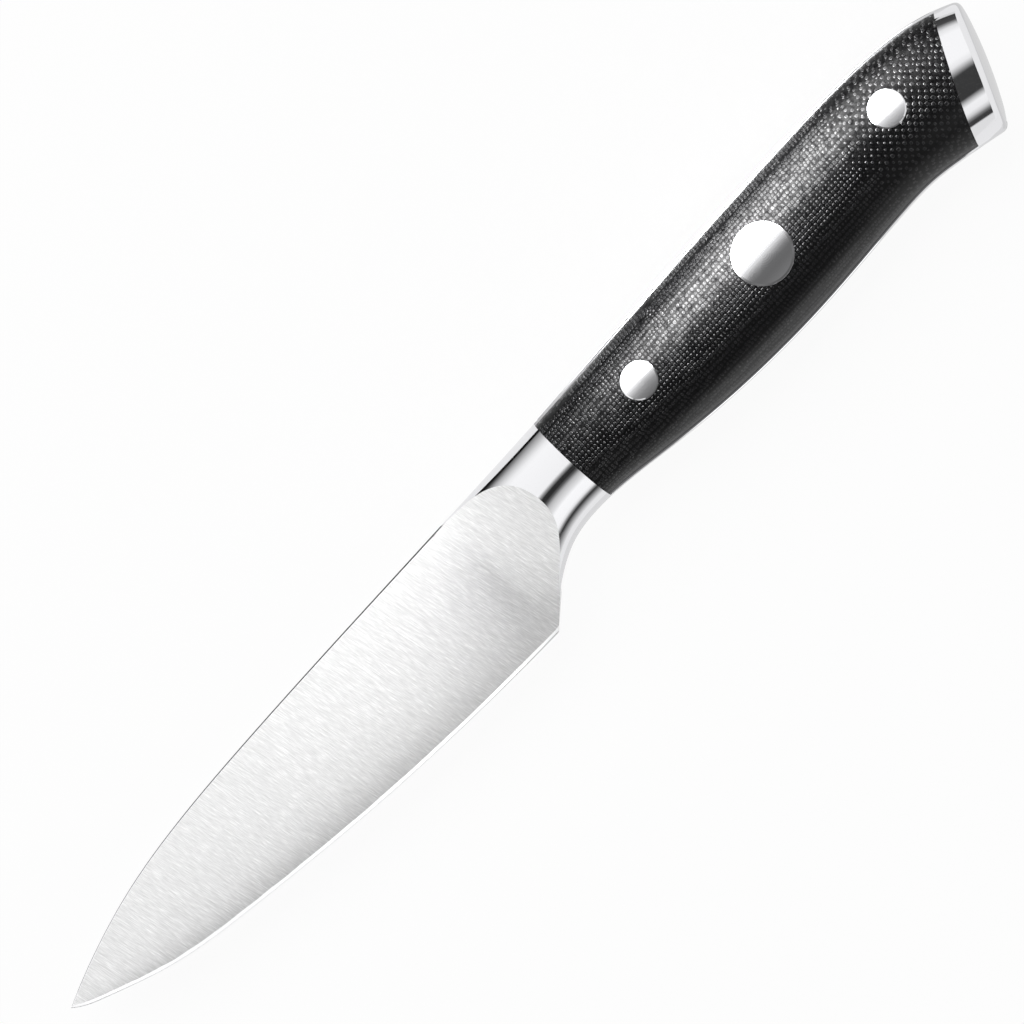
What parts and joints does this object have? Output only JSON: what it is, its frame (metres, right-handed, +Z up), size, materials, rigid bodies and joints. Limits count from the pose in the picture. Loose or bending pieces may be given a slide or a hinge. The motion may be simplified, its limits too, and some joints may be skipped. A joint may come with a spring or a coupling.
{
  "type": "paring knife",
  "caption": "Full-tang paring knife with a flat-ground blade, polished bolster and end cap, and black riveted laminate scales.",
  "frame": {"origin": "bottom centre of the box round the knife, which lies on its right side", "axes": "+X from the tip of the blade to the butt, +Y from the cutting edge to the spine, +Z up out of the left side"},
  "size_m": [0.1954, 0.024, 0.016],
  "materials": {
    "blade_steel": "satin, ground across the blade",
    "polished_steel": "mirror polished, satin on the ramp that the blade's flat runs up",
    "laminate": "black woven glass laminate, buffed to a satin sheen that shows the cloth",
    "rivet_steel": "polished flush with the scales"
  },
  "bodies": {
    "root": {"blade": "blade_steel", "bolster_left": "polished_steel", "bolster_right": "polished_steel", "scale_left": "laminate", "scale_right": "laminate", "end_cap": "polished_steel", "rivet_front_male": "rivet_steel", "rivet_front_female": "rivet_steel", "rivet_middle_male": "rivet_steel", "rivet_middle_female": "rivet_steel", "rivet_rear_male": "rivet_steel", "rivet_rear_female": "rivet_steel"}
  },
  "joints": []
}
